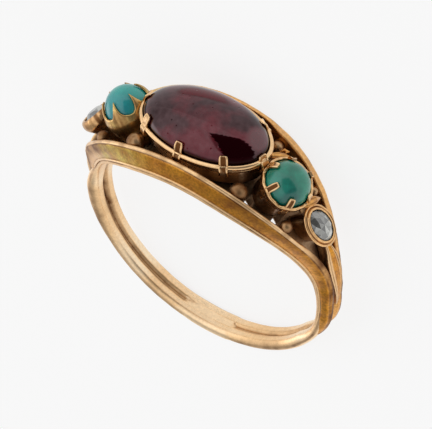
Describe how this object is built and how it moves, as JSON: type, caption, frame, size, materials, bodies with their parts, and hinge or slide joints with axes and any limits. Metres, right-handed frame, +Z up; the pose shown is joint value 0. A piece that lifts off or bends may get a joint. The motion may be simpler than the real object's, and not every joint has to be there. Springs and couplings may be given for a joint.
{
  "type": "gemstone ring",
  "caption": "Antique style gold finger ring: an oval cabochon between round cabochons and small cut stones, in a row between moulded rails that run into a reeded shank",
  "frame": {"origin": "on the table, under the middle of the ring as it lies on its side", "axes": "+Z up from the table, near the line of the finger; +X along the row of stones; +Y from the back of the shank to the stones"},
  "size_m": [0.0195, 0.022, 0.0069],
  "materials": {
    "gold": "polished low carat gold with dark tarnish in the recesses",
    "garnet": "polished cabochon with small nicks",
    "turquoise": "polished cabochon, blue green and uneven",
    "diamond": "old cut facets, greyish"
  },
  "bodies": {
    "root": {"ring_mount": "gold", "garnet_cabochon": "garnet", "turquoise_left": "turquoise", "turquoise_right": "turquoise", "diamond_left": "diamond", "diamond_right": "diamond"}
  },
  "joints": []
}
